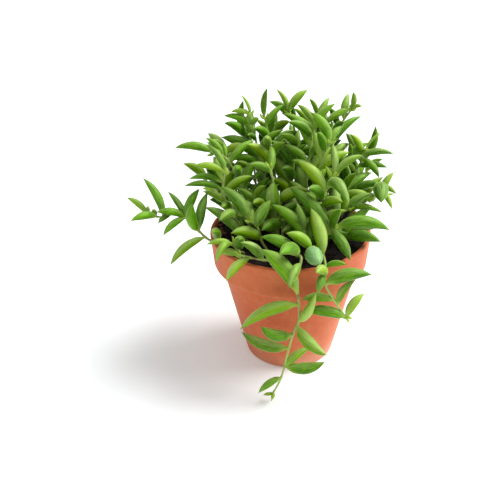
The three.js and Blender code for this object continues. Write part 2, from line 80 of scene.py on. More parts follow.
OWN_SHARE = 0.35            # a leaf's first third may touch the rest of its own shoot,
OWN_LENGTH = 5.0            # and so may at least this length of it
BALL_SPACING = 0.3          # from ball to ball along a leaf, as a share of its thickness
LEAF_OUTLINE = np.array([
    (0, 0.22), (0.06, 0.3), (0.18, 0.74), (0.34, 0.96), (0.5, 1), (0.66, 0.92), (0.8, 0.68), (0.92, 0.35),
    (1, 0.04),
])

# ------------ shoots with chosen places
# As in the CAD model. root: x and y in the soil. extra: how many leaves grow by rule, past the chosen
# ones. route: points that the stem passes, as x, y and height over the lip. leaves: place on the route,
# heading, lift, length, thickness and, if it isn't the usual one, the bow.

CHOSEN_SHOOTS = {
    "front_long": {
        "root": (8, -38), "extra": 2,
        "route": [
            (4, -48, 7), (7, -57, 10), (4, -63, -2), (6, -64, -19), (6, -64, -32), (3, -64, -40),
            (0, -64, -53), (-5, -65, -77), (-11, -66, -91),
        ],
        "leaves": [
            (3.5, 149, 46, 35, 10.4), (2.3, -110, -15, 20, 5.5), (4, -165, -18, 39, 8.3),
            (5, 15, 66, 25, 6), (6.2, -155, 30, 25, 8, -0.15), (7, 170, 14, 32, 8, -0.15),
            (5.4, -40, -25, 26, 8.3, -0.12), (7.6, 0, 8, 26, 8, -0.15), (8, -150, -20, 18, 5),
            (1.3, 175, 28, 25, 7.5), (9, -170, 0, 6, 2.5), (8.8, -100, -20, 6, 2.2),
        ],
    },
    "front_right_long": {
        "root": (20, -36), "extra": 3,
        "route": [(21, -45, 5), (22, -57, 4), (22, -62, -5), (28, -62, -17), (36, -61, -31)],
        "leaves": [
            (2, -30, 25, 15, 4), (3, 5, 12, 28, 8.8), (2.3, -110, -25, 16, 5), (4, -170, 8, 20, 6),
            (5, -178, 20, 27, 7.5), (5, 30, 50, 19, 6),
        ],
    },
    "front_middle": {
        "root": (12, -37), "extra": 0,
        "route": [(12, -41, 3), (13, -45, 9)],
        "leaves": [(2, -160, 35, 22, 7.5), (2, -75, 0, 18, 11, 0.05)],
    },
    "rim_runner": {
        "root": (-6, -43), "extra": 0,
        "route": [(-10, -46, 1.5), (-17, -47, 3), (-25, -46, 4), (-32, -43, 4)],
        "leaves": [(2, 180, 45, 19, 6.5), (3, -140, -28, 21, 6), (4, 170, 20, 14, 5)],
    },
    "rim_front_left": {
        "root": (-30, -32), "extra": 0,
        "route": [(-33, -36, 3), (-37, -37, 9)],
        "leaves": [(1, -95, 60, 20, 7), (2, -120, -15, 18, 5, 0.25), (2, -165, 5, 16, 4)],
    },
    "front_left": {
        "root": (-22, -27), "extra": 1,
        "route": [(-25, -26, 3), (-31, -25, 7), (-34, -22, 12)],
        "leaves": [(2, 165, 36, 31, 7.5)],
    },
    "left_long": {
        "root": (-38, -22), "extra": 3,
        "route": [
            (-46, -24, 3), (-53, -24, 4), (-60, -21, 9), (-69, -15, 16), (-77, -13, 18), (-83, -13, 15),
            (-90, -12, 15), (-95, -12, 16),
        ],
        "leaves": [
            (6.2, 150, 60, 29, 6), (8, 165, 38, 18, 4.5), (7, -100, 60, 8, 3.5), (8, 140, 60, 7, 3),
            (4, -170, 20, 20, 5.5), (4, 150, 42, 21, 4.5), (4, -145, -25, 19, 5), (5.3, -130, -10, 12, 4),
            (3, -110, 75, 24, 7.5), (2.4, -150, -28, 29, 6), (3, 70, 55, 26, 6.5),
        ],
    },
    "left_low": {
        "root": (-29, -8), "extra": 4,
        "route": [(-33, -8, 6), (-39, -8, 17), (-43, -8, 27), (-44, -8, 36), (-42, -8, 45)],
        "leaves": [
            (2.4, 160, 42, 20, 5), (3.6, -165, 14, 26, 4.5), (4.2, 165, 0, 24, 4.5), (5, -178, 14, 21, 5),
            (5, 150, 50, 22, 4.5),
        ],
    },
    "left_middle": {
        "root": (-22, 5), "extra": 5,
        "route": [(-27, 5, 10), (-32, 5, 27), (-38, 5, 42), (-44, 5, 51), (-51, 5, 54)],
        "leaves": [
            (5, -178, 8, 25, 6), (4.7, 150, 60, 16, 4), (4.1, 165, 45, 16, 4.5), (3.8, 110, 50, 12, 3),
            (2, 50, 55, 22, 7),
        ],
    },
    "left_top": {
        "root": (-15, 18), "extra": 5,
        "route": [(-17, 22, 9), (-20, 25, 33), (-23, 25, 51), (-26, 25, 65), (-27, 25, 73)],
        "leaves": [
            (4, 178, 20, 20, 5), (5, 180, 8, 13, 3.5), (5, 150, 60, 14, 2.5), (2.4, 170, 28, 30, 9),
            (3.2, -130, 45, 14, 4), (4, -60, 40, 12, 4), (2.2, -170, 35, 22, 6),
        ],
    },
    "top_left": {
        "root": (-6, 27), "extra": 5,
        "route": [(-8, 32, 6), (-12, 35, 30), (-14, 35, 44), (-16, 35, 58), (-18, 35, 67)],
        "leaves": [
            (3.6, 60, 75, 20, 6), (2.7, 10, 60, 25, 8), (2.6, -170, 65, 20, 6, 0.2), (5, 60, 80, 20, 4.5),
            (2, 30, 42, 27, 7), (1.9, 15, 28, 22, 4.5),
        ],
    },
    "top_middle": {
        "root": (6, 35), "extra": 6,
        "route": [(7, 42, 4), (7, 45, 24), (4, 45, 47), (1, 45, 61), (-2, 45, 68)],
        "leaves": [(4.2, 165, 38, 20, 6), (5, 150, 65, 17, 4), (5, -60, 55, 10, 3), (4.8, 25, 45, 20, 6)],
    },
    "top_right": {
        "root": (17, 27), "extra": 5,
        "route": [(18, 32, 5), (21, 35, 28), (21, 35, 45), (20, 35, 58), (18, 35, 67)],
        "leaves": [
            (5, -150, 65, 16, 3.5), (3.3, -80, 75, 20, 5.5), (3, 160, 40, 36, 7.5), (2.1, 145, 55, 26, 5),
            (2.6, 150, 48, 24, 7),
        ],
    },
    "right_top": {
        "root": (26, 22), "extra": 5,
        "route": [(28, 30, 8), (29, 35, 28), (28, 35, 46), (34, 35, 62), (41, 35, 73)],
        "leaves": [
            (5, -160, -25, 22, 5), (5, -90, 75, 13, 4), (5, -50, 25, 10, 3), (3, 25, 35, 30, 6),
            (2.9, 35, 48, 25, 7), (3.8, -150, 65, 16, 5),
        ],
    },
    "right_upper": {
        "root": (25, 12), "extra": 5,
        "route": [(27, 18, 8), (31, 20, 27), (38, 20, 40), (46, 20, 44), (50, 20, 49)],
        "leaves": [
            (3.3, -100, 80, 18, 3.5), (3, 15, 25, 20, 6), (5, 10, 50, 16, 2), (4.2, -60, 45, 10, 3),
            (4.2, 5, 3, 22, 5), (4.1, -25, -40, 19, 5),
        ],
    },
    "right_middle": {
        "root": (22, 2), "extra": 5,
        "route": [(26, 5, 2), (32, 5, 18), (40, 5, 26), (50, 5, 28), (59, 5, 29)],
        "leaves": [
            (2.6, 5, 10, 23, 5.5), (3.2, -15, 12, 20, 5.5), (2.3, -35, 12, 25, 7.5), (5, -93, 4, 26, 10),
            (5, -60, 5, 16, 4), (5, -50, -40, 17, 4), (1.6, 0, -2, 33, 5.5),
        ],
    },
    "right_front": {
        "root": (13, -27), "extra": 2,
        "route": [(16, -28, 1), (20, -28, 7), (25, -28, 12), (29, -28, 16)],
        "leaves": [(4, 2, -3, 34, 8.8, 0.15), (3.3, -55, -30, 23, 7.5), (3, 152, 42, 38, 9)],
    },
    "middle_right": {
        "root": (17, -15), "extra": 3,
        "route": [(19, -15, 10), (21, -15, 24), (22, -15, 33), (25, -15, 41), (28, -15, 47)],
        "leaves": [
            (3.6, -63, 2, 25, 7.7, 0.3), (3, 160, 48, 28, 8.5), (2, -50, 30, 21, 6.5),
            (1, -10, 45, 22, 6.5), (5, 70, 70, 20, 5), (5, 10, 35, 21, 5), (4.3, 150, 70, 10, 3),
        ],
    },
    "middle": {
        "root": (-9, -12), "extra": 3,
        "route": [(-8, -10, 4), (-8, -10, 19), (-9, -10, 30), (-12, -10, 44), (-14, -10, 51)],
        "leaves": [(0.9, 115, 62, 28, 7), (2.1, -104, 68, 26, 9), (4.2, -150, 50, 18, 5)],
    },
    "middle_front": {
        "root": (9, -20), "extra": 2,
        "route": [(10, -28, 2), (10, -30, 9), (9, -28, 20)],
        "leaves": [(2, 145, 50, 31, 8), (1, 60, 75, 22, 6.5)],
    },
    "middle_left": {
        "root": (-15, -27), "extra": 1,
        "route": [(-18, -25, 3), (-21, -25, 14), (-26, -25, 19)],
        "leaves": [(1.2, -150, 35, 24, 8), (2.1, -20, 65, 23, 7), (3, 155, 45, 28, 8.5)],
    },
    "right_rim": {
        "root": (33, -17), "extra": 3,
        "route": [(36, -16, 1), (39, -15, 4)],
        "leaves": [(1.2, -25, 8, 24, 8), (2, 10, 5, 20, 5.5)],
    },
}

# ------------ shoots grown by rule
# name, how many, the headings of the first and the last, how far out they root, how far out and how
# high they end, and how many leaves each has.

GROWN_ROWS = [
    ("back", 7, 10, 170, 40, 64, 30, 7),
    ("crown", 5, -5, 185, 12, 24, 58, 9),
    ("back_high", 4, 45, 135, 30, 50, 56, 8),
    ("side", 6, -25, 205, 27, 40, 24, 6),
    ("inner", 4, -155, -25, 13, 20, 17, 4),
    ("back_trailing", 2, 60, 130, 44, 68, -28, 7),
    ("thicket", 4, 40, 140, 22, 36, 42, 13),
    ("rear", 4, 30, 150, 42, 55, 47, 11),
]

# ------------ the pot's profile

band_foot = POT_HEIGHT - BAND_HEIGHT
soil_top = POT_HEIGHT - SOIL_DROP
inside_top = RIM_RADIUS - WALL
inside_bottom = FOOT_RADIUS - WALL + (BODY_TOP_RADIUS - FOOT_RADIUS) * FLOOR / band_foot


def inside_radius(z):
    return inside_bottom + (inside_top - inside_bottom) * (z - FLOOR) / (POT_HEIGHT - FLOOR)


outside = [
    (0, 0),
    (FOOT_RADIUS - FOOT_ROUND, 0),
    (FOOT_RADIUS, FOOT_ROUND),
    (BODY_TOP_RADIUS, band_foot),
    (BAND_FOOT_RADIUS - LIP_ROUND, band_foot),
    (BAND_FOOT_RADIUS, band_foot + LIP_ROUND),
    (RIM_RADIUS, POT_HEIGHT - LIP_ROUND),
    (RIM_RADIUS - LIP_ROUND * 0.4, POT_HEIGHT - LIP_ROUND * 0.4),
    (RIM_RADIUS - LIP_ROUND, POT_HEIGHT),
]


def space_at(points):
    """How far each point is outside the filled pot: negative inside. The surface below it counts too."""
    r = np.hypot(points[:, 0], points[:, 1])
    z = points[:, 2]
    edge = outside + [(inside_top, POT_HEIGHT), (inside_top, soil_top), (0, soil_top)]
    nearest = np.full(len(points), np.inf)
    within = np.zeros(len(points), bool)
    for i, (ar, az) in enumerate(edge):
        br, bz = edge[(i + 1) % len(edge)]
        dr = br - ar
        dz = bz - az
        share = np.clip(((r - ar) * dr + (z - az) * dz) / (dr * dr + dz * dz), 0, 1)
        if ar > 0 or br > 0:
            nearest = np.minimum(nearest, np.hypot(r - ar - dr * share, z - az - dz * share))
        if dz:
            within ^= ((az > z) != (bz > z)) & (r < ar + dr * (z - az) / dz)
    return np.minimum(np.where(within, -nearest, nearest), z)


# ------------ growing, as in the CAD model


DICE_FACTOR = 16807
DICE_RANGE = 2 ** 31 - 1


def make_dice(seed):
    """Repeatable numbers from 0 to 1."""
    state = seed

    def roll():
        nonlocal state
        state = (state * DICE_FACTOR) % DICE_RANGE
        return state / DICE_RANGE

    return roll


def direction_of(heading, lift):
    h = math.radians(heading)
    up = math.radians(lift)
    return np.array([math.cos(up) * math.cos(h), math.cos(up) * math.sin(h), math.sin(up)])


def point_at(route, at):
    """A point on the smooth curve through a route, where "at" counts the route's points from 0."""
    spans = len(route) - 1
    i = min(spans - 1, max(0, math.floor(at)))
    t = min(1, max(0, at - i))
    a = route[max(0, i - 1)]
    b = route[i]
    c = route[i + 1]
    d = route[min(spans, i + 2)]
    return 0.5 * (2 * b + (c - a) * t + (2 * a - 5 * b + 4 * c - d) * t * t
                  + (3 * b - a - 3 * c + d) * t * t * t)


def arch_side(base, direction):
    """The side a leaf arches to: upwards, or away from the pot's axis on a leaf that stands up."""
    side = np.array([0.0, 0.0, 1.0])
    if abs(direction[2]) > 0.9:
        side = np.array([base[0], base[1], 0.0]) / math.hypot(base[0], base[1])
    side = side - direction * side.dot(direction)
    return side / np.linalg.norm(side)


def outline_at(share):
    return np.interp(share, LEAF_OUTLINE[:, 0], LEAF_OUTLINE[:, 1])


def leaf_points(leaf, share):
    share = np.asarray(share, float)[:, None]
    return (leaf["base"] + leaf["direction"] * leaf["length"] * share
            + leaf["side"] * leaf["length"] * leaf["bow"] * 4 * share * (1 - share))


# A leaf or a stem with no room tries other headings and lifts, and then shorter lengths.
TRIES = [
    (0, 0), (8, 0), (-8, 0), (0, 8), (0, -8), (14, 10), (-14, 10), (14, -10), (-14, -10),
    (22, 0), (-22, 0), (0, 20), (0, -20), (26, 18), (-26, 18), (26, -18), (-26, -18),
    (40, 0), (-40, 0), (0, 36), (0, -36), (44, 26), (-44, 26), (44, -26), (-44, -26),
]
SHORTER = [1, 0.85, 0.7, 0.55]
STEM_TURNS = [0, 4, -4, 8, -8, 12, -12, 16, -16, 20, -20, 26, -26, 32, -32]
STEM_SHORTER = [1, 0.75, 0.5, 0.3]
MOST_BALLS = 20000

# All that has grown is kept as balls: x, y, z, radius, the shoot's number, and 1 on a leaf's stalk.
grown = np.zeros((MOST_BALLS, 6))
grown_count = 0
shoots = []


def keep(balls):
    global grown_count
    grown[grown_count:grown_count + len(balls)] = balls
    grown_count += len(balls)


def stem_balls(route, number):
    rows = []
    for i in range(1, len(route)):
        count = math.ceil(np.linalg.norm(route[i] - route[i - 1]) / STEM_RADIUS)
        for k in range(1, count + 1):
            rows.append([*point_at(route, i - 1 + k / count), STEM_RADIUS, number, 0])
    return np.array(rows)


def leaf_balls(leaf, number):
    length = leaf["length"]
    count = math.ceil(length / (leaf["thickness"] * BALL_SPACING))
    share = np.arange(1, count + 1) / count
    stalk = share * length < max(OWN_SHARE * length, OWN_LENGTH)
    radius = outline_at(share) * leaf["thickness"] / 2
    return np.column_stack([leaf_points(leaf, share), radius, np.full(count, number), stalk])


def clear_of_pot(balls):
    return bool(np.all(space_at(balls[:, :3]) > balls[:, 3] + CLEARANCE))


def clear_of_plant(balls, others):
    away = balls[:, None, :3] - others[None, :, :3]
    reach = balls[:, None, 3] + others[None, :, 3] + LEAF_GAP
    touching = (away ** 2).sum(2) < reach * reach
    own = (balls[:, None, 4] == others[None, :, 4]) & ((balls[:, None, 5] + others[None, :, 5]) > 0)
    return not bool(np.any(touching & ~own))


def near(place, reach):
    """The balls that something within reach of a place could touch."""
    balls = grown[:grown_count]
    return balls[np.linalg.norm(balls[:, :3] - place, axis=1) < reach + balls[:, 3] + LEAF_GAP]


def grow_leaf(shoot, at, heading, lift, length, thickness, bow=LEAF_BOW):
    base = point_at(shoot["route"], at)
    others = near(base, length * (1 + abs(bow)) + thickness)
    for shorter in SHORTER:
        for turn, up in TRIES:
            direction = direction_of(heading + turn, min(88, max(-80, lift + up)))
            leaf = {
                "at": at, "base": base, "direction": direction, "side": arch_side(base, direction),
                "length": length * shorter, "thickness": thickness, "bow": bow,
            }
            balls = leaf_balls(leaf, shoot["number"])
            if clear_of_pot(balls) and clear_of_plant(balls, others):
                keep(balls)
                shoot["leaves"].append(leaf)
                return


def leaves_by_rule(shoot, count, dice):
    spans = len(shoot["route"]) - 1
    start = 360 * dice()
    rows = []
    for i in range(count):
        share = i / (count - 1) if count > 1 else 1
        at = spans * (0.15 + 0.7 * share if shoot["wanted"] else 0.3 + 0.7 * share)
        heading = start + LEAF_TURN * i
        lift = 28 + 35 * share * dice() + 18 * dice()
        length = (27 - 8 * share) * (0.85 + 0.35 * dice())
        thickness = length * (0.25 + 0.06 * dice())
        rows.append((at, heading, lift, length, thickness))
    return rows


root_reach = inside_radius(soil_top) - STEM_RADIUS - ROOT_CLEARANCE - ROOT_EDGE


def new_shoot(name, root, points, wanted, extra):
    foot = np.array([root[0], root[1], soil_top + STEM_RADIUS], float)
    foot[:2] *= min(1, root_reach / math.hypot(foot[0], foot[1]))
    route = [foot] + [np.array([x, y, POT_HEIGHT + up], float) for x, y, up in points]
    return {"name": name, "number": len(shoots), "route": route, "leaves": [], "wanted": wanted,
            "extra": extra}


def grown_route(root, lean_to, height, heading, rise, bend):
    def at(radius, up, aside):
        out = direction_of(heading + aside, 0)
        return (radius * out[0], radius * out[1], up)

    lean = lean_to - root
    if height < 0:
        middle = [at(root + lean * 0.3, 6, 0), at(root + lean * 0.75, 8, bend / 2)]
    else:
        middle = [at(root + lean * 0.15, rise * 0.3, 0), at(root + lean * 0.5, rise * 0.7, bend)]
    return at(root, 0, 0), [*middle, at(lean_to, rise, bend * 2)]


def grow_shoot(name, heading, root, reach, height, extra, dice):
    rise = height * (0.8 + 0.4 * dice())
    lean_to = reach * (0.92 + 0.16 * dice())
    bend = 10 * dice() - 5
    for shorter in STEM_SHORTER:
        for turn in STEM_TURNS:
            foot, points = grown_route(root, lean_to, height, heading + turn, rise * shorter, bend)
            shoot = new_shoot(name, foot, points, [], extra)
            balls = stem_balls(shoot["route"], shoot["number"])
            free = balls[balls[:, 2] > soil_top + 3 * STEM_RADIUS]
            if clear_of_pot(free) and clear_of_plant(balls, grown[:grown_count]):
                keep(balls)
                shoots.append(shoot)
                return


def grow_plant():
    for name, chosen in CHOSEN_SHOOTS.items():
        shoot = new_shoot(f"shoot_{name}", chosen["root"], chosen["route"], chosen["leaves"],
                          chosen["extra"])
        keep(stem_balls(shoot["route"], shoot["number"]))
        shoots.append(shoot)
    chosen = [(shoot, leaf) for shoot in shoots for leaf in shoot["wanted"]]
    chosen.sort(key=lambda pair: -(pair[1][3] * pair[1][4]))
    for shoot, leaf in chosen:
        grow_leaf(shoot, *leaf)
    dice = make_dice(GROWTH_SEED)
    for name, count, first, last, root, reach, height, extra in GROWN_ROWS:
        for i in range(count):
            heading = first + (last - first) * i / (count - 1)
            grow_shoot(f"shoot_{name}_{i + 1}", heading, root, reach, height, extra, dice)
    for shoot in shoots:
        for leaf in leaves_by_rule(shoot, shoot["extra"], dice):
            grow_leaf(shoot, *leaf)


grow_plant()

# ------------ meshes


class Shape:
    """One piece, gathered from closed shells, with the values that its material reads at each point."""

    def __init__(self):
        self.points = []
        self.faces = []
        self.kinds = []
        self.leaf = []
        self.tint = []
        self.count = 0

    def add(self, points, faces, kind, leaf, tint):
        self.points.append(points)
        self.faces += [tuple(i + self.count for i in face) for face in faces]
        self.kinds += [kind] * len(faces)
        self.leaf.append(leaf)
        self.tint.append(np.tile(tint, (len(points), 1)))
        self.count += len(points)

    def mesh(self, name, materials):
        mesh = bpy.data.meshes.new(name)
        mesh.from_pydata((np.vstack(self.points) * MM).tolist(), [], self.faces)
        for label, rows in (("leaf", self.leaf), ("tint", self.tint)):
            made = mesh.attributes.new(label, "FLOAT_VECTOR", "POINT")
            made.data.foreach_set("vector", np.vstack(rows).astype(np.float32).ravel())
        for material in materials:
            mesh.materials.append(material)
        mesh.polygons.foreach_set("material_index", self.kinds)
        mesh.polygons.foreach_set("use_smooth", [True] * len(mesh.polygons))
        mesh.update()
        return mesh


def add_object(name, data):
    made = bpy.data.objects.new(name, data)
    bpy.context.scene.collection.objects.link(made)
    return made


def unit(v):
    return v / np.linalg.norm(v)


def tangents(line):
    ahead = np.vstack([line[1:], line[-1:]])
    behind = np.vstack([line[:1], line[:-1]])
    along = ahead - behind
    return along / np.linalg.norm(along, axis=1)[:, None]


def carried(line, first):
    """A side for each point of a line, which turns with the line and no more."""
    sides = []
    side = first
    for t in tangents(line):
        side = unit(side - t * side.dot(t))
        sides.append(side)
    return np.array(sides)


def turns_of(sides):
    """The angles of a ring's points."""
    return 2 * np.pi * np.arange(sides) / sides


def tube_faces(rings, sides):
    """The faces of a closed tube. Its points are its rings, then the middles of its two ends."""
    faces = []
    for i in range(rings - 1):
        for k in range(sides):
            n = (k + 1) % sides
            faces.append((i * sides + k, i * sides + n, (i + 1) * sides + n, (i + 1) * sides + k))
    start = rings * sides
    last = (rings - 1) * sides
    for k in range(sides):
        n = (k + 1) % sides
        faces.append((start, n, k))
        faces.append((start + 1, last + k, last + n))
    return faces


def skin_points(line, first, radii, turn):
    """The points of a closed tube round a line. radii has a row for each ring, a column for each side."""
    sides = carried(line, first)
    across = np.cross(tangents(line), sides)
    ring = (line[:, None, :] + radii[:, :, None] * (np.cos(turn)[None, :, None] * sides[:, None, :]
                                                    + np.sin(turn)[None, :, None] * across[:, None, :]))
    return np.vstack([ring.reshape(-1, 3), line[:1], line[-1:]])


def skin_marks(share, turn):
    """For each point of a skin: how far along it is, and the cosine and sine of its turn."""
    rows = [np.column_stack([np.full(len(turn), s), np.cos(turn), np.sin(turn)]) for s in share]
    return np.vstack([*rows, [[share[0], 0, 0]], [[share[-1], 0, 0]]])


# ------------ leaves and stems

LEAF_SIDES = 16
LEAF_RINGS = np.array([
    0, 0.03, 0.07, 0.11, 0.16, 0.21, 0.27, 0.34, 0.42, 0.5, 0.58, 0.66, 0.74, 0.81, 0.87, 0.92, 0.955, 0.98,
    1,
])
LEAF_FORM = np.array([
    (-0.1, 0.2), (0, 0.22), (0.05, 0.27), (0.12, 0.52), (0.2, 0.78), (0.34, 0.97), (0.48, 1.02),
    (0.62, 0.96), (0.76, 0.77), (0.88, 0.47), (0.95, 0.24), (1, 0.05),
])
LEAF_DEPTH = 0.93           # a leaf's depth over its width
KEEL = 0.07                 # how far its outer ridge stands out, as a share of its radius
GROOVE = 0.07               # and how deep the groove on its inner side is
KEEL_SHARPNESS = 8
GROOVE_WIDTH = 0.3          # radians around the leaf
TIP_LENGTH = 0.7            # the small dry point at a leaf's tip
TIP_RADII = [0.16, 0.05]    # the point's radii, past its middle and at its end
TIP_MARKS = [1.02, 1.04]    # what the skin reads there as the place along the leaf
LEAF_WANDER = 0.03          # how far a leaf bends sideways, as a share of its length
FAT_SHIFT = (-0.05, 0.06)   # how far the form shifts along a leaf, least and most
UNEVENNESS = 0.018          # of the leaf's skin, as a share of its radius
BALL_FORM = 0.48            # a leaf thicker than this share of its length is a ball with waxy skin,
BALL_RANGE = 0.1            # and the wax is full at this much more
SHOOT_HUE = 0.45            # how much of a leaf's hue it has from its shoot
STEM_SIDES = 10
STEM_FINENESS = 24          # points on each stretch of a route, to measure its length by
STEM_RING_STEP = 1.3
STEM_THICK = 0.95           # the stem's radius where it leaves the soil
STEM_THIN = 0.62            # and at its tip
NODE_SWELL = 0.18           # how much thicker a stem is where a leaf grows
NODE_WIDTH = 1.2
BUD_COUNT = 3
BUD_LENGTH = (3.5, 6)
BUD_THICKNESS = (1.5, 2.1)
BUD_ROOT = 0.8              # how far inside the stem's tip a bud starts
BUD_BOW = 0.14

chance = np.random.default_rng(7)


def smooth_form(share):
    """LEAF_FORM as a curve with no corners."""
    steps = np.array([-0.02, -0.01, 0, 0.01, 0.02])
    return np.mean([np.interp(share + s, LEAF_FORM[:, 0], LEAF_FORM[:, 1]) for s in steps], axis=0)


def add_leaf(shape, leaf, youth, hue):
    """A plump leaf: a ridge along its outer side, a groove along its inner side and a small dry tip."""
    length = leaf["length"]
    wander = chance.uniform(-LEAF_WANDER, LEAF_WANDER) * length
    fat_shift = chance.uniform(*FAT_SHIFT)
    share = LEAF_RINGS
    across = np.cross(leaf["direction"], leaf["side"])
    line = leaf_points(leaf, share)
    line += across * (wander * np.sin(np.pi * share))[:, None]
    line = np.vstack([leaf["base"] - leaf["direction"] * LEAF_ROOT, line])
    tip = unit(line[-1] - line[-2])
    line = np.vstack([line, line[-1] + tip * TIP_LENGTH * 0.6, line[-1] + tip * TIP_LENGTH])
    marks = np.concatenate([[0], share, TIP_MARKS])
    turn = turns_of(LEAF_SIDES)
    keel = KEEL * np.clip(np.cos(turn), 0, 1) ** KEEL_SHARPNESS
    groove = GROOVE * np.exp(-((turn - np.pi) / GROOVE_WIDTH) ** 2)
    section = np.sqrt((LEAF_DEPTH * np.cos(turn)) ** 2 + np.sin(turn) ** 2) + keel - groove
    warped = share + fat_shift * np.sin(np.pi * share) ** 2
    body = smooth_form(warped) * leaf["thickness"] / 2
    body = np.concatenate([[body[0]], body, TIP_RADII])
    lumps = 1 + UNEVENNESS * np.sin(marks[:, None] * 17 + turn[None, :] * 2 + chance.uniform(0, 6))
    middle = np.clip(np.sin(np.pi * np.clip(marks, 0, 1)), 0, 1) ** 0.5
    radii = body[:, None] * (1 + (section[None, :] * lumps - 1) * middle[:, None])
    points = skin_points(line, leaf["side"], radii, turn)
    plump = min(max(leaf["thickness"] / length - BALL_FORM, 0) / BALL_RANGE, 1)
    own_hue = SHOOT_HUE * hue + (1 - SHOOT_HUE) * chance.uniform()
    tint = np.array([own_hue, chance.uniform(), youth - plump])
    shape.add(points, tube_faces(len(line), LEAF_SIDES), 0, skin_marks(marks, turn), tint)


def add_stem(shape, shoot):
    """A round stem from its foot in the soil to its tip, with a swelling where each leaf grows."""
    route = shoot["route"]
    spans = len(route) - 1
    coarse = np.array([point_at(route, at) for at in np.linspace(0, spans, spans * STEM_FINENESS + 1)])
    foot = coarse[0] - np.array([0, 0, ROOT_DEPTH])
    coarse = np.vstack([foot, coarse])
    run = np.concatenate([[0], np.cumsum(np.linalg.norm(np.diff(coarse, axis=0), axis=1))])
    at = np.linspace(0, run[-1], max(8, int(run[-1] / STEM_RING_STEP)))
    line = np.column_stack([np.interp(at, run, coarse[:, i]) for i in range(3)])
    share = at / run[-1]
    radius = STEM_THICK + (STEM_THIN - STEM_THICK) * share
    for leaf in shoot["leaves"]:
        away = np.linalg.norm(line - leaf["base"], axis=1)
        radius += NODE_SWELL * np.exp(-(away / NODE_WIDTH) ** 2)
    radius[-1] *= 0.5
    turn = turns_of(STEM_SIDES)
    radii = np.repeat(radius[:, None], STEM_SIDES, axis=1)
    points = skin_points(line, np.array([1.0, 0.0, 0.0]), radii, turn)
    tint = np.array([chance.uniform(), chance.uniform(), 0])
    shape.add(points, tube_faces(len(line), STEM_SIDES), 1, skin_marks(share, turn), tint)


def add_buds(shape, shoot, hue):
    """The young leaves, a few millimetres long, that stand close together at a shoot's tip."""
    route = shoot["route"]
    end = route[-1]
    ahead = unit(end - point_at(route, len(route) - 1.15))
    first = unit(np.cross(ahead, np.array([0.3, 0.2, 1.0])))
    second = np.cross(ahead, first)
    for i in range(BUD_COUNT):
        turn = 2 * np.pi * (i + chance.uniform(0, 0.5)) / BUD_COUNT
        aside = first * math.cos(turn) + second * math.sin(turn)
        direction = unit(ahead * chance.uniform(1.0, 1.8) + aside)
        bud = {
            "base": end - ahead * BUD_ROOT,
            "direction": direction,
            "side": unit(aside - direction * aside.dot(direction)),
            "length": chance.uniform(*BUD_LENGTH),
            "thickness": chance.uniform(*BUD_THICKNESS),
            "bow": BUD_BOW,
        }
        add_leaf(shape, bud, 1.0, hue)


def youth_of(leaf, spans):
    """How young a leaf looks: more so towards the shoot's tip, and not at all at full length."""
    near_tip = np.clip(leaf["at"] / spans * 1.3 - 0.75, 0, 1)
    small = np.clip(1.9 - leaf["length"] / 14, 0, 1)
    return near_tip * small


def make_shoot(shoot, materials):
    shape = Shape()
    spans = len(shoot["route"]) - 1
    hue = chance.uniform()                # how yellow a green this shoot has
    add_stem(shape, shoot)
    for leaf in shoot["leaves"]:
        add_leaf(shape, leaf, youth_of(leaf, spans), hue)
    add_buds(shape, shoot, hue)
    name = shoot["name"].replace("shoot_", "vine_")
    vine = add_object(name, shape.mesh(name, materials))
    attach(vine, "root")
    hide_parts(shoot["name"])
    return vine


# ------------ pot and soil

POT_SIDES = 160
DRILL_SIDES = 32
WALL_RINGS = 24             # rings on the straight stretches keep the shading of the rounded edges
BAND_RINGS = 8              # from spreading over them
INSIDE_RINGS = 12
BAND_CORNER = 0.6           # rounding of the corner between the band and the body
SHARP_EDGE = 35             # degrees


def arc(centre, radius, start, end, steps):
    """Points on a round corner, given as degrees from the outward direction."""
    turn = np.radians(np.linspace(start, end, steps))
    return [(centre[0] + radius * math.cos(a), centre[1] + radius * math.sin(a)) for a in turn]


def lathe(name, profile, sides, material):
    """A closed solid of revolution. The profile starts and ends on the axis."""
    inner = np.array(profile[1:-1])
    turn = turns_of(sides)
    rings = np.stack([np.outer(inner[:, 0], np.cos(turn)), np.outer(inner[:, 0], np.sin(turn)),
                      np.repeat(inner[:, 1:], sides, axis=1)], axis=2)
    points = np.vstack([rings.reshape(-1, 3), [[0, 0, profile[0][1]]], [[0, 0, profile[-1][1]]]])
    mesh = bpy.data.meshes.new(name)
    mesh.from_pydata((points * MM).tolist(), [], tube_faces(len(inner), sides))
    mesh.materials.append(material)
    return add_object(name, mesh)


def cut(piece, cutters):
    """Takes the cutters' shapes out of a piece for good."""
    for cutter in cutters:
        step = piece.modifiers.new("cut", "BOOLEAN")
        step.operation = "DIFFERENCE"
        step.object = cutter
        step.solver = "EXACT"
    seen = piece.evaluated_get(bpy.context.evaluated_depsgraph_get())
    piece.data = bpy.data.meshes.new_from_object(seen)
    piece.modifiers.clear()
    for cutter in cutters:
        bpy.data.objects.remove(cutter)


def smooth_by_angle(piece, degrees):
    """Smooth shading, with sharp edges where the surface turns by more than this."""
    mesh = piece.data
    mesh.polygons.foreach_set("use_smooth", [True] * len(mesh.polygons))
    mesh.set_sharp_from_angle(angle=math.radians(degrees))
    mesh.update()


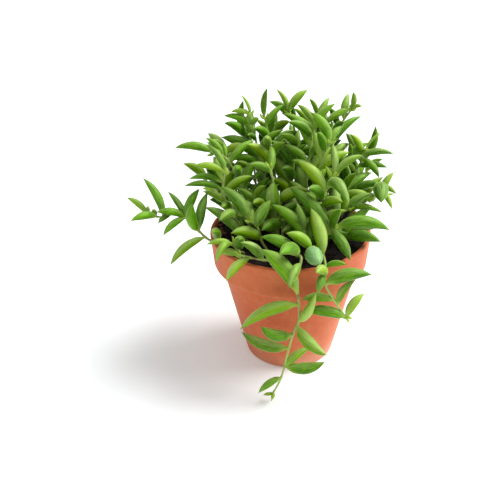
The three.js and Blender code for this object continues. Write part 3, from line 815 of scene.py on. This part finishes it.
def pot_profile():
    lip = LIP_ROUND
    body = np.array([(FOOT_RADIUS, FOOT_ROUND), (BODY_TOP_RADIUS, band_foot)])
    wall = [tuple(body[0] + (body[1] - body[0]) * s) for s in np.linspace(0.02, 0.985, WALL_RINGS)]
    band = [(BAND_FOOT_RADIUS + (RIM_RADIUS - BAND_FOOT_RADIUS) * s,
             band_foot + lip + (BAND_HEIGHT - 2 * lip) * s) for s in np.linspace(0.05, 0.97, BAND_RINGS)]
    inside = [(inside_radius(z), z) for z in np.linspace(POT_HEIGHT - lip * 0.9, FLOOR, INSIDE_RINGS)]
    return [
        (0, 0), (FOOT_RADIUS - FOOT_ROUND, 0),
        *arc((FOOT_RADIUS - FOOT_ROUND, FOOT_ROUND), FOOT_ROUND, -78, -8, 6),
        *wall,
        *arc((BODY_TOP_RADIUS + BAND_CORNER, band_foot - BAND_CORNER), BAND_CORNER, 180, 100, 5),
        (BAND_FOOT_RADIUS - lip, band_foot),
        *arc((BAND_FOOT_RADIUS - lip, band_foot + lip), lip, -80, -4, 7),
        *band,
        *arc((RIM_RADIUS - lip, POT_HEIGHT - lip), lip, 2, 88, 8),
        *arc((inside_top + lip * 0.8, POT_HEIGHT - lip * 0.8), lip * 0.8, 95, 175, 5),
        *inside,
        (0, FLOOR),
    ]


def make_pot(material):
    pot = lathe("pot_body", pot_profile(), POT_SIDES, material)
    drills = []
    for i in range(DRAIN_COUNT):
        turn = 2 * math.pi * i / DRAIN_COUNT
        profile = [(0, -FLOOR), (DRAIN_RADIUS, -FLOOR), (DRAIN_RADIUS, FLOOR * 2), (0, FLOOR * 2)]
        drill = lathe(f"drill_{i}", profile, DRILL_SIDES, material)
        drill.location = (DRAIN_CIRCLE * math.cos(turn) * MM, DRAIN_CIRCLE * math.sin(turn) * MM, 0)
        drills.append(drill)
    bpy.context.view_layer.update()
    cut(pot, drills)
    smooth_by_angle(pot, SHARP_EDGE)
    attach(pot, "root")
    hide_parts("pot")


SOIL_SIDES = 120
SOIL_RINGS = 44
SOIL_RELIEF = 0.54          # how far the soil's surface rises and falls
SOIL_SINK = 0.5             # how far its mean height is below the CAD soil's top
CRUMB_COUNT = 520
CRUMB_SIZE = (0.35, 1.25)
BARK_COUNT = 26
BARK_SIZE = (1, 2)
BARK_HEADING = (150, 205)   # degrees: the bark lies by the wall on this side
BARK_REACH = 45


def soil_height(x, y):
    """The soil's uneven surface, as a sum of waves."""
    waves = (0.5 * np.sin(x * 0.31 + 1.3) * np.cos(y * 0.27) + 0.3 * np.sin(x * 0.83 + y * 0.61)
             + 0.25 * np.cos(x * 1.37 - y * 1.11 + 2.1) + 0.2 * np.sin(y * 2.3 + x * 0.4))
    return soil_top - SOIL_SINK + SOIL_RELIEF * waves


def lump(centre, size, squash):
    """A small irregular closed lump, with the corners and faces of a 20-sided solid."""
    golden = (1 + 5 ** 0.5) / 2
    corners = np.array([
        (-1, golden, 0), (1, golden, 0), (-1, -golden, 0), (1, -golden, 0),
        (0, -1, golden), (0, 1, golden), (0, -1, -golden), (0, 1, -golden),
        (golden, 0, -1), (golden, 0, 1), (-golden, 0, -1), (-golden, 0, 1),
    ], float) / math.hypot(1, golden)
    faces = [
        (0, 11, 5), (0, 5, 1), (0, 1, 7), (0, 7, 10), (0, 10, 11), (1, 5, 9), (5, 11, 4), (11, 10, 2),
        (10, 7, 6), (7, 1, 8), (3, 9, 4), (3, 4, 2), (3, 2, 6), (3, 6, 8), (3, 8, 9), (4, 9, 5),
        (2, 4, 11), (6, 2, 10), (8, 6, 7), (9, 8, 1),
    ]
    stretch = chance.uniform(0.65, 1.35, 3) * np.array([1, 1, squash])
    corners = corners * chance.uniform(0.8, 1.15, (12, 1)) * stretch
    turn = chance.uniform(0, 2 * np.pi)
    cos = math.cos(turn)
    sin = math.sin(turn)
    spin = np.array([[cos, -sin, 0], [sin, cos, 0], [0, 0, 1]])
    return centre + corners @ spin.T * size, faces


def add_lump(shape, reach, turn, size, rise, squash, is_bark):
    """Lays a lump on the soil, at a distance and a heading from the middle."""
    x = reach * math.cos(turn)
    y = reach * math.sin(turn)
    centre = np.array([x, y, float(soil_height(x, y)) + size * rise])
    points, faces = lump(centre, size, squash)
    tint = np.array([chance.uniform(), chance.uniform(), is_bark])
    shape.add(points, faces, 0, np.zeros((len(points), 3)), tint)


def make_soil(material):
    shape = Shape()
    rim = inside_radius(soil_top) - CLEARANCE
    radii = np.linspace(rim / SOIL_RINGS, rim, SOIL_RINGS)
    turn = turns_of(SOIL_SIDES)
    x = np.outer(radii, np.cos(turn))
    y = np.outer(radii, np.sin(turn))
    top = np.stack([x, y, soil_height(x, y)], axis=2).reshape(-1, 3)
    low = FLOOR + CLEARANCE
    foot = inside_radius(low) - CLEARANCE
    base = np.column_stack([foot * np.cos(turn), foot * np.sin(turn), np.full(SOIL_SIDES, low)])
    points = np.vstack([top, base, [[0, 0, soil_top - SOIL_SINK]], [[0, 0, low]]])
    # The rings go from the middle outwards and down, so each face is turned over.
    faces = [face[:1] + face[:0:-1] for face in tube_faces(SOIL_RINGS + 1, SOIL_SIDES)]
    shape.add(points, faces, 0, np.zeros((len(points), 3)), np.array([0.5, 0.5, 0]))
    for _ in range(CRUMB_COUNT):
        reach = rim * math.sqrt(chance.uniform(0, 0.96))
        heading = chance.uniform(0, 2 * np.pi)
        add_lump(shape, reach, heading, chance.uniform(*CRUMB_SIZE), 0.2, 0.8, 0)
    for _ in range(BARK_COUNT):
        heading = math.radians(chance.uniform(*BARK_HEADING))
        reach = chance.uniform(BARK_REACH, rim - 1.5)
        add_lump(shape, reach, heading, chance.uniform(*BARK_SIZE), 0.35, 0.6, 1)
    soil = add_object("soil_surface", shape.mesh("soil_surface", [material]))
    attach(soil, "root")
    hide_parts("soil")


# ------------ materials


def rgb(red, green, blue):
    """A colour given in the 0 to 255 numbers of a screen, as Blender's linear values."""
    def linear(v):
        v /= 255
        return v / 12.92 if v <= 0.04045 else ((v + 0.055) / 1.055) ** 2.4

    return (linear(red), linear(green), linear(blue), 1)


class Paint:
    """A material, with short names for the nodes that it uses most."""

    def __init__(self, name):
        self.material = bpy.data.materials.new(name)
        self.material.use_nodes = True
        self.nodes = self.material.node_tree.nodes
        self.links = self.material.node_tree.links
        self.shader = self.nodes["Principled BSDF"]

    def put(self, socket, value):
        if isinstance(value, bpy.types.NodeSocket):
            self.links.new(value, socket)
        else:
            socket.default_value = value

    def set(self, **values):
        for name, value in values.items():
            self.put(self.shader.inputs[name.replace("_", " ")], value)

    def make(self, kind, *inputs, **settings):
        """A new node, given its first inputs in their order, and its settings by name."""
        node = self.nodes.new("ShaderNode" + kind)
        for name, value in settings.items():
            setattr(node, name, value)
        for socket, value in zip(node.inputs, inputs):
            self.put(socket, value)
        return node

    def math(self, operation, a, b=0.0):
        return self.make("Math", a, b, operation=operation).outputs[0]

    def mix(self, share, a, b):
        node = self.make("Mix", share, data_type="RGBA")
        self.put(node.inputs[6], a)
        self.put(node.inputs[7], b)
        return node.outputs[2]

    def ease(self, value, low, high, least=0.0, most=1.0):
        """From least to most as the value goes from low to high, with a soft start and end."""
        return self.make("MapRange", value, low, high, least, most,
                         interpolation_type="SMOOTHSTEP").outputs[0]

    def noise(self, vector, scale, detail=2.0, roughness=0.5):
        node = self.make("TexNoise", vector)
        node.inputs["Scale"].default_value = scale
        node.inputs["Detail"].default_value = detail
        node.inputs["Roughness"].default_value = roughness
        return node.outputs[0]

    def cells(self, vector, scale):
        node = self.make("TexVoronoi", vector)
        node.inputs["Scale"].default_value = scale
        return node.outputs[0]

    def attribute(self, name):
        return self.make("Attribute", attribute_name=name).outputs["Vector"]

    def facing(self):
        """0 where the surface faces the viewer, 1 at its rim. Only sheen uses it."""
        return self.make("LayerWeight").outputs["Facing"]

    def place(self):
        return self.make("TexCoord").outputs["Object"]

    def split(self, vector):
        return self.make("SeparateXYZ", vector).outputs

    def stretch(self, vector, by, shift=None):
        stretched = self.make("VectorMath", vector, by, operation="MULTIPLY").outputs[0]
        if shift is None:
            return stretched
        return self.make("VectorMath", stretched, shift, operation="ADD").outputs[0]

    def bump(self, height, distance, strength, under=None):
        node = self.make("Bump", strength, distance)
        self.put(node.inputs["Height"], height)
        if under is not None:
            self.put(node.inputs["Normal"], under)
        return node.outputs[0]


LEAF_GREEN = rgb(52, 116, 0)
LEAF_LIGHT = rgb(92, 156, 0)
LEAF_YELLOW = rgb(156, 184, 0)
LEAF_DARK = rgb(16, 78, 20)
LEAF_STREAK = rgb(150, 200, 44)
LEAF_VEIN = rgb(32, 80, 0)
# painted shade on a leaf's inner side
LEAF_INSIDE_SHADE = rgb(40, 90, 0)
LEAF_RIDGE_LINE = rgb(38, 88, 6)
LEAF_WINDOW = rgb(40, 84, 18)
# pale wax bloom, which is also a painted highlight on the leaf's upper side
LEAF_BLOOM_AND_HIGHLIGHT = rgb(196, 224, 138)
LEAF_WAX = rgb(150, 198, 158)
WAX_SPECK = rgb(222, 238, 222)
LEAF_STALK = rgb(166, 190, 84)
YOUNG_LEAF = rgb(176, 204, 84)
LEAF_END = rgb(92, 112, 44)
DRY_TIP = rgb(116, 92, 62)


def leaf_skin():
    """Waxy green skin: streaks, fine lengthwise veins, a pale bloom and painted highlight outside, painted
    shade and a window stripe inside.
    """
    p = Paint("leaf_skin")
    along, out, _ = p.split(p.attribute("leaf"))
    hue, value, youth = p.split(p.attribute("tint"))
    place = p.place()

    cloud = p.noise(place, 90, 2)
    shift = p.stretch(p.attribute("tint"), (23, 31, 17))
    streak = p.noise(p.stretch(p.attribute("leaf"), (1.6, 5, 5), shift), 3.2, 3, 0.6)
    fine = p.noise(p.stretch(p.attribute("leaf"), (1.2, 14, 14), shift), 3.0, 2, 0.5)

    colour = p.mix(p.ease(cloud, 0.3, 0.7), LEAF_GREEN, LEAF_LIGHT)
    colour = p.mix(p.ease(hue, 0.35, 0.95, 0.0, 0.95), colour, LEAF_YELLOW)
    colour = p.mix(p.ease(value, 0.5, 1.0, 0.0, 0.9), colour, LEAF_DARK)
    colour = p.mix(p.ease(streak, 0.42, 0.68, 0.0, 0.7), colour, LEAF_STREAK)
    colour = p.mix(p.ease(fine, 0.5, 0.6, 0.0, 0.5), colour, LEAF_VEIN)
    # Painted shade: a leaf is darker on its inner side, which faces down, or towards the pot's axis on a
    # leaf that stands up.
    colour = p.mix(p.ease(out, 0.3, -0.7, 0.0, 0.6), colour, LEAF_INSIDE_SHADE)

    lines = p.ease(p.math("ABSOLUTE", p.math("SUBTRACT", out, 0.78)), 0.09, 0.0, 0.0, 0.35)
    colour = p.mix(lines, colour, LEAF_RIDGE_LINE)
    window = p.ease(out, -0.88, -0.985)
    colour = p.mix(p.math("MULTIPLY", window, 0.55), colour, LEAF_WINDOW)

    # A pale wax bloom on the leaf's outer side, which mostly faces up: partly the skin's own bloom and
    # partly a painted highlight.
    bloom_and_highlight = p.math("MULTIPLY", p.ease(out, 0.2, 1.0), p.ease(hue, 0.2, 1.0, 0.2, 0.75))
    bloom_and_highlight = p.math("MULTIPLY", bloom_and_highlight, p.ease(streak, 0.2, 0.75, 0.35, 1.0))
    colour = p.mix(bloom_and_highlight, colour, LEAF_BLOOM_AND_HIGHLIGHT)

    waxy = p.ease(youth, 0.0, -1.0)       # youth is negative on the balls
    waxy_share = p.math("MULTIPLY", waxy, p.ease(streak, 0.3, 0.65, 0.25, 0.8))
    colour = p.mix(waxy_share, colour, LEAF_WAX)
    specks = p.ease(p.cells(place, 620), 0.3, 0.14, 0.0, 0.6)
    colour = p.mix(p.math("MULTIPLY", waxy, specks), colour, WAX_SPECK)

    colour = p.mix(p.ease(along, 0.24, 0.02, 0.0, 0.8), colour, LEAF_STALK)
    colour = p.mix(p.ease(youth, 0.0, 1.0, 0.0, 0.8), colour, YOUNG_LEAF)
    colour = p.mix(p.ease(along, 0.93, 1.0, 0.0, 0.5), colour, LEAF_END)
    colour = p.mix(p.ease(along, 1.0, 1.02), colour, DRY_TIP)

    cells = p.cells(place, 1500)
    relief = p.bump(fine, 0.0002, 0.35)
    relief = p.bump(cells, 0.00005, 0.35, relief)
    p.set(
        Base_Color=colour,
        Roughness=p.ease(streak, 0.3, 0.75, 0.28, 0.45),
        Normal=relief,
        Sheen_Weight=p.ease(p.facing(), 0.45, 0.92, 0.03, 1.0),
        Sheen_Roughness=0.4,
        Sheen_Tint=rgb(200, 234, 116),
        Specular_Tint=rgb(196, 238, 120),
        Specular_IOR_Level=0.4,
        Subsurface_Weight=0.1,
        Subsurface_Radius=(0.5, 1.0, 0.1),
        Subsurface_Scale=0.0015,
    )
    return p.material


def stem_skin():
    """A smooth green stem, paler towards its tip and brown in patches, with fine lengthwise lines."""
    p = Paint("stem_skin")
    along = p.split(p.attribute("leaf"))[0]
    place = p.place()
    patches = p.noise(place, 120, 3)
    lines = p.noise(p.stretch(p.attribute("leaf"), (9, 4, 4)), 3.0, 2)
    colour = p.mix(p.ease(along, 0.1, 0.9), rgb(128, 140, 66), rgb(158, 190, 86))
    colour = p.mix(p.ease(lines, 0.4, 0.65, 0.0, 0.4), colour, rgb(190, 206, 120))
    colour = p.mix(p.ease(patches, 0.55, 0.72, 0.0, 0.75), colour, rgb(128, 96, 60))
    colour = p.mix(p.ease(along, 0.16, 0.02, 0.0, 0.8), colour, rgb(104, 78, 48))
    p.set(
        Base_Color=colour,
        Roughness=p.ease(patches, 0.3, 0.7, 0.45, 0.65),
        Normal=p.bump(lines, 0.0002, 0.4),
    )
    return p.material


def clay():
    """Matt fired clay: cloudy colour, fine grains, faint rings from turning and pale salts by the foot."""
    p = Paint("terracotta_clay")
    place = p.place()
    height = p.split(place)[2]
    clouds = p.noise(place, 22, 3, 0.55)
    mottle = p.noise(place, 130, 4, 0.6)
    grain = p.noise(place, 1400, 3, 0.6)
    rings = p.noise(p.stretch(place, (3, 3, 420)), 1.0, 3, 0.6)
    colour = p.mix(p.ease(clouds, 0.32, 0.7), rgb(198, 92, 48), rgb(205, 108, 62))
    colour = p.mix(p.ease(mottle, 0.45, 0.75, 0.0, 0.45), colour, rgb(208, 132, 88))
    colour = p.mix(p.ease(mottle, 0.5, 0.25, 0.0, 0.3), colour, rgb(176, 78, 38))
    colour = p.mix(p.ease(grain, 0.62, 0.8, 0.0, 0.35), colour, rgb(150, 78, 50))
    colour = p.mix(p.ease(rings, 0.5, 0.75, 0.0, 0.06), colour, rgb(224, 160, 122))
    salt = p.math("MULTIPLY", p.ease(height, 0.02, 0.0, 0.0, 0.5), p.ease(clouds, 0.3, 0.7))
    colour = p.mix(salt, colour, rgb(214, 176, 152))
    relief = p.bump(rings, 0.0004, 0.25)
    relief = p.bump(mottle, 0.0006, 0.2, relief)
    relief = p.bump(grain, 0.0002, 0.5, relief)
    p.set(
        Base_Color=colour,
        Roughness=p.ease(mottle, 0.3, 0.7, 0.78, 0.94),
        Normal=relief,
        Specular_IOR_Level=0.3,
        Sheen_Weight=0.3,
        Sheen_Roughness=0.5,
        Sheen_Tint=rgb(245, 200, 190),
    )
    return p.material


def peat():
    """Near-black potting soil with browner crumbs, and pieces of bark by the pot's wall."""
    p = Paint("peat")
    _, value, bark = p.split(p.attribute("tint"))
    place = p.place()
    clods = p.noise(place, 260, 4, 0.7)
    grain = p.noise(place, 1500, 3, 0.7)
    colour = p.mix(p.ease(clods, 0.35, 0.7), rgb(16, 12, 12), rgb(40, 30, 27))
    colour = p.mix(p.ease(grain, 0.55, 0.8, 0.0, 0.5), colour, rgb(74, 56, 46))
    colour = p.mix(p.ease(value, 0.7, 1.0, 0.0, 0.6), colour, rgb(66, 46, 38))
    bark_colour = p.mix(p.ease(grain, 0.3, 0.7), rgb(84, 44, 42), rgb(138, 92, 74))
    colour = p.mix(bark, colour, bark_colour)
    relief = p.bump(clods, 0.001, 0.6)
    relief = p.bump(grain, 0.0004, 0.7, relief)
    p.set(Base_Color=colour, Roughness=p.ease(grain, 0.3, 0.7, 0.85, 1.0), Normal=relief,
          Specular_IOR_Level=0.2)
    return p.material


# ------------ camera, light and floor

CAMERA_LENS = 50.0
CAMERA_ELEVATION = 32.14
CAMERA_DISTANCE = 497.24
CAMERA_TARGET = Vector((0, 0, 60))
CAMERA_ROLL = -1.43
AIM_RIGHT = -28.55          # how far beside and over its target the camera looks
AIM_UP = 16.56

SKY_STRENGTH = 0.5
KEY_AZIMUTH = 16.0          # degrees from +X towards +Y, where the key light stands
KEY_ELEVATION = 50.0
KEY_SPREAD = 42.0           # degrees across, as seen from the plant: a soft shadow's edge
KEY_STRENGTH = 4.0
FLOOR_SIZE = 12.0
FLOOR_COLOUR = (0.895, 0.93, 0.94, 1)    # a little cool, against the red light off the pot
FLOOR_GLOW = 0.17           # keeps the shadow as pale as a studio's


def add_camera():
    up = math.radians(CAMERA_ELEVATION)
    back = Vector((0, -math.cos(up), math.sin(up)))
    right = Vector((1, 0, 0))
    eye = CAMERA_TARGET + back * CAMERA_DISTANCE
    aim = CAMERA_TARGET + right * AIM_RIGHT + back.cross(right) * AIM_UP
    back = (eye - aim).normalized()
    right = Vector((0, 0, 1)).cross(back).normalized()
    upward = back.cross(right)
    roll = math.radians(CAMERA_ROLL)
    rolled_right = right * math.cos(roll) + upward * math.sin(roll)
    rolled_up = upward * math.cos(roll) - right * math.sin(roll)
    data = bpy.data.cameras.new("camera")
    data.lens = CAMERA_LENS
    data.clip_start = 0.01
    data.clip_end = 50
    camera = add_object("camera", data)
    turn = Matrix((rolled_right, rolled_up, back)).transposed()
    camera.matrix_world = Matrix.Translation(eye * MM) @ turn.to_4x4()
    bpy.context.scene.camera = camera


def add_light():
    scene = bpy.context.scene
    world = bpy.data.worlds.new("studio")
    world.use_nodes = True
    nodes = world.node_tree.nodes
    links = world.node_tree.links
    lit_by = nodes["Background"]
    lit_by.inputs["Color"].default_value = (1, 1, 1, 1)
    lit_by.inputs["Strength"].default_value = SKY_STRENGTH
    seen = nodes.new("ShaderNodeBackground")            # the camera sees plain white past the floor
    seen.inputs["Color"].default_value = (1, 1, 1, 1)
    either = nodes.new("ShaderNodeMixShader")
    links.new(nodes.new("ShaderNodeLightPath").outputs["Is Camera Ray"], either.inputs[0])
    links.new(lit_by.outputs[0], either.inputs[1])
    links.new(seen.outputs[0], either.inputs[2])
    links.new(either.outputs[0], nodes["World Output"].inputs["Surface"])
    scene.world = world
    data = bpy.data.lights.new("key", "SUN")
    data.angle = math.radians(KEY_SPREAD)
    data.energy = KEY_STRENGTH
    key = add_object("key", data)
    around = math.radians(KEY_AZIMUTH)
    up = math.radians(KEY_ELEVATION)
    towards = Vector((math.cos(up) * math.cos(around), math.cos(up) * math.sin(around), math.sin(up)))
    key.location = towards
    key.rotation_euler = towards.to_track_quat("Z", "Y").to_euler()
    scene.view_settings.view_transform = "Standard"
    scene.view_settings.look = "None"
    scene.cycles.use_denoising = True


def add_floor():
    half = FLOOR_SIZE / 2
    mesh = bpy.data.meshes.new("studio_floor")
    mesh.from_pydata([(-half, -half, 0), (half, -half, 0), (half, half, 0), (-half, half, 0)], [],
                     [(0, 1, 2, 3)])
    p = Paint("studio_floor")
    p.set(Base_Color=FLOOR_COLOUR, Roughness=1.0, Specular_IOR_Level=0.0, Emission_Color=(1, 1, 1, 1),
          Emission_Strength=FLOOR_GLOW)
    mesh.materials.append(p.material)
    floor = add_object("studio_floor", mesh)


# ------------ the scene


MOST_APART = 0.004          # metres: the young leaves at a shoot's tip are only in this model


def compare_boxes(piece, node):
    """Says so if a shoot's box isn't where its CAD solid's is."""
    low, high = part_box(node)
    corners = np.array([v.co for v in piece.data.vertices])
    below = np.abs(corners.min(0) - np.array(low)).max()
    above = np.abs(corners.max(0) - np.array(high)).max()
    apart = max(below, above)
    if apart > MOST_APART:
        print(f"{piece.name} is {apart / MM:.1f} mm off {node}")


add_camera()
add_light()
add_floor()
make_pot(clay())
make_soil(peat())
plant_materials = [leaf_skin(), stem_skin()]
for grown_shoot in shoots:
    compare_boxes(make_shoot(grown_shoot, plant_materials), grown_shoot["name"])
